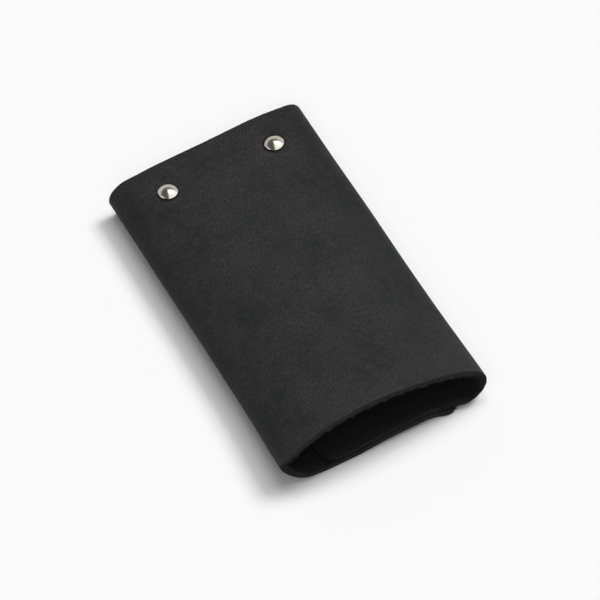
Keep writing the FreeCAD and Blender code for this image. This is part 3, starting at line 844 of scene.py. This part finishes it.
def seat_metal(outside, inside, hide, layers):
    """Seats in the hide for the rivet caps, the rail and the press studs, where the CAD pieces lie.
    Gives the rivets' places on the flat hide."""
    rivets = []
    zone = layers["zone"]
    top = [vert for vert in outside if PANEL <= vert[zone] <= PANEL + 1]
    under = [vert for vert in inside if PANEL <= vert[zone] <= PANEL + 1]
    tilt = math.atan((hide.mouth_rise - hide.back_rise) / hide.length)
    up = Vector((0, math.sin(tilt), math.cos(tilt)))
    for side in ("left", "right"):
        low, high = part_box(f"rivet_cap_{side}")
        middle = (low + high) / 2
        foot = min(vert.co.dot(up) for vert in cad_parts[f"rivet_cap_{side}"].data.vertices)
        base = middle + up * (foot - middle.dot(up))
        press_seat(top, base, up, *RIVET_SEAT)
        near = min(top, key=lambda vert: (vert.co - base).length)
        offset = base - near.co
        across, along, _ = near[layers["hide"]]
        rivets.append((across + offset.x, along + offset.y, 0))
    plate_low, plate_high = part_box("rail_plate")
    plane = max(vert.co.dot(up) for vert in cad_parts["rail_plate"].data.vertices)
    for vert in under:
        inside_x = plate_low.x - RAIL_MARGIN < vert.co.x < plate_high.x + RAIL_MARGIN
        inside_y = plate_low.y - RAIL_MARGIN < vert.co.y < plate_high.y + RAIL_MARGIN
        gap = plane - vert.co.dot(up)
        if inside_x and inside_y and gap > 0:
            vert.co += up * gap
    flaps = {}
    for face, verts in ((GRAIN, outside), (FLESH, inside)):
        flaps["outer", face] = [vert for vert in verts if vert[zone] < OUTER_LOWER]
        flaps["inner", face] = [vert for vert in verts if vert[zone] > INNER_FLAP]
    ways = {GRAIN: Vector((0, 0, -1)), FLESH: Vector((0, 0, 1))}
    for end in ("mouth", "back"):
        for piece, flap, face, level, radius, spread in SNAP_SEATS:
            low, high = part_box(f"{piece}_{end}")
            middle = Vector(((low.x + high.x) / 2, (low.y + high.y) / 2, level))
            press_seat(flaps[flap, face], middle, ways[face], radius, spread)
    return rivets


def sort_faces(bm, hide, layers):
    """Grain side, flesh side and cut edge, by how deep in the hide each face's corners lie."""
    for face in bm.faces:
        depths = [vert[layers["hide"]].z for vert in face.verts]
        if max(depths) - min(depths) > hide.thickness / 2:
            face.material_index = EDGE
        else:
            face.material_index = FLESH if depths[0] < -hide.thickness / 2 else GRAIN


def finish_edges(bm, hide, layers):
    """Divide the cut edge across its thickness, round its two corners and rough it up."""
    place = layers["hide"]
    through = [
        edge
        for edge in bm.edges
        if abs(edge.verts[0][place].z - edge.verts[1][place].z) > hide.thickness / 2
    ]
    bmesh.ops.subdivide_edges(bm, edges=through, cuts=RIM_CUTS, use_grid_fill=True)
    corners = [
        edge
        for edge in bm.edges
        if len({face.material_index == EDGE for face in edge.link_faces}) == 2
    ]
    bmesh.ops.bevel(
        bm,
        geom=corners,
        offset=hide.edge_round,
        offset_type="OFFSET",
        affect="EDGES",
        segments=2,
        profile=0.5,
        material=-1,
        clamp_overlap=True,
    )
    bm.normal_update()
    for face in bm.faces:
        face.smooth = True
    rough = {vert for face in bm.faces if face.material_index == EDGE for vert in face.verts}
    for vert in rough:
        ragged = RAGGED - RAGGED_MORE * vert[place].z / hide.thickness
        vert.co += vert.normal * noise.noise(vert.co / TEAR) * ragged * MM


def add_fibres(bm, hide, layers):
    """Loose fibres along the cut edge's flesh side, drawn thicker than real so that they show."""
    draw = random.Random(4)
    tufts = bmesh.new()
    tuft_zone = tufts.verts.layers.float.new("zone")
    tuft_place = tufts.verts.layers.float_vector.new("hide")
    roots = []
    for vert in bm.verts:
        across, along, depth = vert[layers["hide"]]
        if depth < -FIBRE_DEPTH * hide.thickness and abs(abs(along) - hide.length / 2) < AT_EDGE:
            place = (across, along, depth)
            roots.append((vert.co.copy(), vert.normal.copy(), vert[layers["zone"]], place))
    roots.sort(key=lambda root: (root[2], root[3]))
    for spot, normal, zone, place in roots:
        if draw.random() > FIBRE_SHARE:
            continue
        lean = Vector((draw.gauss(0, 1), draw.gauss(0, 1), draw.gauss(0, 1)))
        way = (normal + lean * FIBRE_STRAY).normalized()
        length = draw.uniform(*FIBRE_LENGTH) * MM
        turn = way.to_track_quat("Z", "Y").to_matrix().to_4x4()
        out = bmesh.ops.create_cone(
            tufts,
            cap_ends=True,
            segments=3,
            radius1=FIBRE_ROOT,
            radius2=FIBRE_TIP,
            depth=length,
            matrix=Matrix.Translation(spot + way * length * FIBRE_OUT) @ turn,
        )
        for vert in out["verts"]:
            vert[tuft_zone] = zone
            vert[tuft_place] = place
    for face in tufts.faces:
        face.material_index = EDGE
    loose = bpy.data.meshes.new("fibres")
    tufts.to_mesh(loose)
    tufts.free()
    bm.from_mesh(loose)
    bpy.data.meshes.remove(loose)


def close_seam(bm, seam):
    """Close one cut through the hide with a strip from its grain line to its flesh line."""
    place = bm.verts.layers.float_vector["hide"]
    depths = {vert: vert[place].z for edge in seam for vert in edge.verts}
    lines = []
    for level in (max(depths.values()), min(depths.values())):
        lines += [
            edge
            for edge in seam
            if all(abs(depths[vert] - level) < AT_LEVEL for vert in edge.verts)
        ]
    bmesh.ops.bridge_loops(bm, edges=lines)


def part_hide(whole, name, low, high):
    """One stretch of the hide as a closed piece of its own, cut along its columns. Gives it with
    the zone and place of each point of its seams."""
    bm = whole.copy()
    zone = bm.verts.layers.float["zone"]
    away = []
    for face in bm.faces:
        middle = sum(vert[zone] for vert in face.verts) / len(face.verts)
        if not low < middle < high:
            away.append(face)
    bmesh.ops.delete(bm, geom=away, context="FACES")
    seam = [edge for edge in bm.edges if edge.is_boundary]
    ends = {vert for edge in seam for vert in edge.verts}
    marks = [(vert[zone], vert.co.copy()) for vert in ends]
    for edge in seam:
        edge.smooth = False
    for level in sorted({round(mark[0] / HALF) for mark in marks}):
        close_seam(bm, [edge for edge in seam if round(edge.verts[0][zone] / HALF) == level])
    bmesh.ops.holes_fill(bm, edges=[edge for edge in bm.edges if edge.is_boundary], sides=0)
    bm.verts.layers.float.remove(zone)
    mesh = bpy.data.meshes.new(name)
    bm.to_mesh(mesh)
    bm.free()
    piece = bpy.data.objects.new(name, mesh)
    bpy.context.scene.collection.objects.link(piece)
    return piece, marks


def ride_across(piece, marks, fixed, moving, way, seams, run):
    """Bend a piece across the joint of two bodies. Its seam with the fixed side stays wholly with
    that body and its seam with the moving side with the other; where one end has no seam, the bend
    runs over a length."""
    way = Vector((way[0], 0, way[1])).normalized()
    shares = {}
    for zone, spot in marks:
        near = min(seams, key=lambda seam: abs(seam - zone))
        shares.setdefault(near, []).append(spot.dot(way))
    first, last = seams
    start = max(shares[first]) if first in shares else None
    end = min(shares[last]) if last in shares else None
    start = end - run if start is None else start
    end = start + run if end is None else end
    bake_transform(piece, fixed, moving, start=tuple(way * start), end=tuple(way * end))


class KEYCASE_OT_hide(bpy.types.Operator):
    """Fold the leather hide round the case and part it where it rides on the CAD's bodies"""

    bl_idname = "keycase.hide"
    bl_label = "Leather Hide"

    def execute(self, context):
        hide = context.scene.key_case_hide
        bm = bmesh.new()
        layers = {
            "zone": bm.verts.layers.float.new("zone"),
            "hide": bm.verts.layers.float_vector.new("hide"),
        }
        draw_sheet(bm, hide, layers)
        round_corners(bm, hide, layers)
        bm.normal_update()
        relax(bm, hide, layers)
        bm.normal_update()
        outside, inside = thicken(bm, hide, layers)
        skive(inside, hide, layers)
        rivets = seat_metal(outside, inside, hide, layers)
        sort_faces(bm, hide, layers)
        bm.normal_update()
        finish_edges(bm, hide, layers)
        add_fibres(bm, hide, layers)
        bm.normal_update()
        for edge in bm.edges:
            if len(edge.link_faces) == 2 and edge.calc_face_angle() > SHARP:
                edge.smooth = False
        middle = (rivets[0][0] + rivets[1][0]) / 2
        grain = make_nubuck(hide, rivets, middle)
        finishes = (grain, make_flesh(hide), make_cut_edge(hide, middle))
        for name, plan in HIDE_PIECES.items():
            piece, marks = part_hide(bm, name, *plan["cut"])
            for finish in finishes:
                piece.data.materials.append(finish)
            # The cut down the middle of the panel lies on one body, so it is no end of a bend.
            marks = [mark for mark in marks if abs(mark[0] - PANEL - HALF) > 0.1]
            fixed, moving = plan["bodies"]
            ride_across(piece, marks, fixed, moving, plan["way"], plan["seams"], plan["run"])
            if plan["solids"]:
                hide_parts(*plan["solids"])
        bm.free()
        return {"FINISHED"}


def dress(nodes, finish):
    """Put a finish on CAD pieces that are shown as they are."""
    for name in nodes:
        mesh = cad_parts[name].data
        mesh.materials.clear()
        mesh.materials.append(finish)


class KEYCASE_OT_rivets(bpy.types.Operator):
    """Finish the two rivets that hold the hook rail"""

    bl_idname = "keycase.rivets"
    bl_label = "Rivets"

    def execute(self, context):
        metal = context.scene.key_case_metal
        # Buffed plate on drawn caps: a soft warm mirror, almost without lines.
        finish = make_nickel("nickel_plate_bright", metal.rivet, 0.18, 0.21, 0.01)
        sides = ("left", "right")
        dress([f"rivet_{piece}_{side}" for piece in ("cap", "post") for side in sides], finish)
        return {"FINISHED"}


class KEYCASE_OT_hook_rail(bpy.types.Operator):
    """Finish the stamped rail, its rod, the key hooks with their sleeves, and the spring gates"""

    bl_idname = "keycase.hook_rail"
    bl_label = "Hook Rail"

    def execute(self, context):
        metal = context.scene.key_case_metal
        count = sum(name.startswith("hook_sleeve_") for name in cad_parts)
        numbers = range(1, count + 1)
        # Plate looks dull on stamped strip, bright on drawn wire and dark on rolled spring strip.
        rail = make_nickel("nickel_plate_stamped", metal.rail, 0.2, 0.34, 0.1)
        dress(["rail_plate", "rail_rod"] + [f"hook_sleeve_{number}" for number in numbers], rail)
        wire = make_nickel("nickel_plate_wire", metal.hook, 0.14, 0.24, 0.06)
        dress([f"hook_{number}" for number in numbers], wire)
        gate = make_nickel("spring_steel_plated", metal.gate, 0.26, 0.38, 0.12)
        dress([f"hook_gate_{number}" for number in numbers], gate)
        return {"FINISHED"}


class KEYCASE_OT_press_studs(bpy.types.Operator):
    """Finish the two press studs that hold the flaps together"""

    bl_idname = "keycase.press_studs"
    bl_label = "Press Studs"

    def execute(self, context):
        metal = context.scene.key_case_metal
        # Barrel-polished plate: bright, with a faint haze.
        finish = make_nickel("nickel_plate_press_stud", metal.stud, 0.15, 0.25, 0.05)
        pieces = ("cap", "socket", "stud", "post")
        dress([f"snap_{piece}_{end}" for piece in pieces for end in ("mouth", "back")], finish)
        return {"FINISHED"}


def lay_floor(scene):
    """A wide sheet of paper under the case."""
    bm = bmesh.new()
    bmesh.ops.create_grid(bm, x_segments=1, y_segments=1, size=FLOOR_SIZE)
    mesh = bpy.data.meshes.new("floor")
    bm.to_mesh(mesh)
    bm.free()
    floor = bpy.data.objects.new("floor", mesh)
    scene.collection.objects.link(floor)
    mesh.materials.append(make_paper(scene.key_case_stage))


def hang_lamps(scene):
    """Soft lamps, most of them from behind on the right."""
    for name, source, strength, softness, mirrored in LAMPS:
        lamp = bpy.data.lights.new(name, "SUN")
        lamp.energy = strength
        lamp.angle = math.radians(softness)
        holder = bpy.data.objects.new(name, lamp)
        holder.rotation_euler = Vector(source).to_track_quat("Z", "Y").to_euler()
        holder.visible_glossy = mirrored
        scene.collection.objects.link(holder)


def paint_studio(scene):
    """The room round the case: white to the camera, dim as a light, and what metal mirrors of it.
    In the metal, the white sweep shows low down, a white card on the left, a broad light panel
    overhead on the right and the unlit room between them. The panel is a band across the sky, cut
    off on its far side."""
    world = bpy.data.worlds.new("studio")
    scene.world = world
    world.use_nodes = True
    tree = world.node_tree
    tree.nodes.clear()
    path = add_node(tree, "ShaderNodeLightPath").outputs
    way = add_node(tree, "ShaderNodeTexCoord").outputs["Generated"]
    height = add_node(tree, "ShaderNodeSeparateXYZ", {"Vector": way}).outputs["Z"]
    leftward, rightward, farther = (
        add_node(tree, "ShaderNodeVectorMath", {0: way, 1: side}, operation="DOT_PRODUCT")
        for side in ((-1.0, -0.2, 0.0), (1.0, -0.35, 0.0), (0.62, 1.0, 0.0))
    )
    card = add_node(
        tree,
        "ShaderNodeMapRange",
        {"Value": leftward.outputs["Value"], "From Min": 0.7, "From Max": 0.76, "To Max": 1.5},
        interpolation_type="SMOOTHSTEP",
    )
    sweep = add_node(
        tree,
        "ShaderNodeMapRange",
        {"Value": height, "From Min": 0.4, "From Max": 0.68, "To Min": 0.68, "To Max": 0.095},
        interpolation_type="SMOOTHSTEP",
    )
    near_edge = add_node(
        tree,
        "ShaderNodeMapRange",
        {
            "Value": rightward.outputs["Value"],
            "From Min": -0.1,
            "From Max": 0.06,
            "To Max": LIGHT_PANEL_GLOW,
        },
        interpolation_type="SMOOTHSTEP",
    )
    far_edge = add_node(
        tree,
        "ShaderNodeMapRange",
        {
            "Value": farther.outputs["Value"],
            "From Min": 0.6,
            "From Max": 0.74,
            "To Min": LIGHT_PANEL_GLOW,
            "To Max": 0.0,
        },
        interpolation_type="SMOOTHSTEP",
    )
    panel = add_node(
        tree,
        "ShaderNodeMath",
        {0: near_edge.outputs[0], 1: far_edge.outputs[0]},
        operation="MINIMUM",
    )
    paper = add_node(
        tree,
        "ShaderNodeMath",
        {0: card.outputs[0], 1: sweep.outputs[0]},
        operation="MAXIMUM",
    )
    room = add_node(
        tree,
        "ShaderNodeMath",
        {0: panel.outputs[0], 1: paper.outputs[0]},
        operation="MAXIMUM",
    )
    seen = add_node(
        tree,
        "ShaderNodeMath",
        {0: path["Is Camera Ray"], 1: path["Is Transmission Ray"]},
        operation="MAXIMUM",
    )
    light, shown, white = (
        add_node(tree, "ShaderNodeBackground", {"Color": linear("#ffffff"), "Strength": strength})
        for strength in (ROOM_LIGHT, room.outputs[0], 1.0)
    )
    lit = add_node(
        tree,
        "ShaderNodeMixShader",
        {0: path["Is Glossy Ray"], 1: light.outputs[0], 2: shown.outputs[0]},
    )
    both = add_node(
        tree,
        "ShaderNodeMixShader",
        {0: seen.outputs[0], 1: lit.outputs[0], 2: white.outputs[0]},
    )
    add_node(tree, "ShaderNodeOutputWorld", {"Surface": both.outputs[0]})


def set_camera(scene):
    """A long lens, aimed at the case from above its mouth."""
    stage = scene.key_case_stage
    eye = bpy.data.cameras.new("camera")
    eye.lens = stage.lens
    eye.sensor_width = 36.0
    eye.clip_start = 0.01
    eye.clip_end = 50.0
    camera = bpy.data.objects.new("camera", eye)
    level = math.cos(stage.elevation)
    across, along = math.sin(stage.azimuth), math.cos(stage.azimuth)
    back = Vector((across * level, -along * level, math.sin(stage.elevation)))
    camera.location = Vector(stage.target) + back * stage.distance
    turn = back.to_track_quat("Z", "Y") @ Quaternion((0, 0, 1), stage.roll)
    camera.rotation_euler = turn.to_euler()
    scene.collection.objects.link(camera)
    scene.camera = camera


class KEYCASE_OT_stage(bpy.types.Operator):
    """Lay a pale floor, hang soft studio light and set the camera"""

    bl_idname = "keycase.stage"
    bl_label = "Stage"

    def execute(self, context):
        scene = context.scene
        lay_floor(scene)
        hang_lamps(scene)
        paint_studio(scene)
        set_camera(scene)
        scene.view_settings.view_transform = "Standard"
        return {"FINISHED"}


class KEYCASE_PT_builder(bpy.types.Panel):
    """Lists the steps that build the key case"""

    bl_idname = "KEYCASE_PT_builder"
    bl_label = "Key Case"
    bl_space_type = "VIEW_3D"
    bl_region_type = "UI"
    bl_category = "Key Case"

    def draw(self, context):
        for operator in OPERATORS:
            self.layout.operator(operator.bl_idname)


SETTINGS = (HideSettings, MetalSettings, StageSettings)
OPERATORS = (
    KEYCASE_OT_hide,
    KEYCASE_OT_rivets,
    KEYCASE_OT_hook_rail,
    KEYCASE_OT_press_studs,
    KEYCASE_OT_stage,
)


def register():
    for item in SETTINGS + OPERATORS + (KEYCASE_PT_builder,):
        bpy.utils.register_class(item)
    bpy.types.Scene.key_case_hide = bpy.props.PointerProperty(type=HideSettings)
    bpy.types.Scene.key_case_metal = bpy.props.PointerProperty(type=MetalSettings)
    bpy.types.Scene.key_case_stage = bpy.props.PointerProperty(type=StageSettings)


def unregister():
    del bpy.types.Scene.key_case_stage
    del bpy.types.Scene.key_case_metal
    del bpy.types.Scene.key_case_hide
    for item in reversed(SETTINGS + OPERATORS + (KEYCASE_PT_builder,)):
        bpy.utils.unregister_class(item)


def main():
    register()
    bpy.ops.keycase.hide()
    bpy.ops.keycase.rivets()
    bpy.ops.keycase.hook_rail()
    bpy.ops.keycase.press_studs()
    bpy.ops.keycase.stage()


if __name__ == "__main__":
    main()
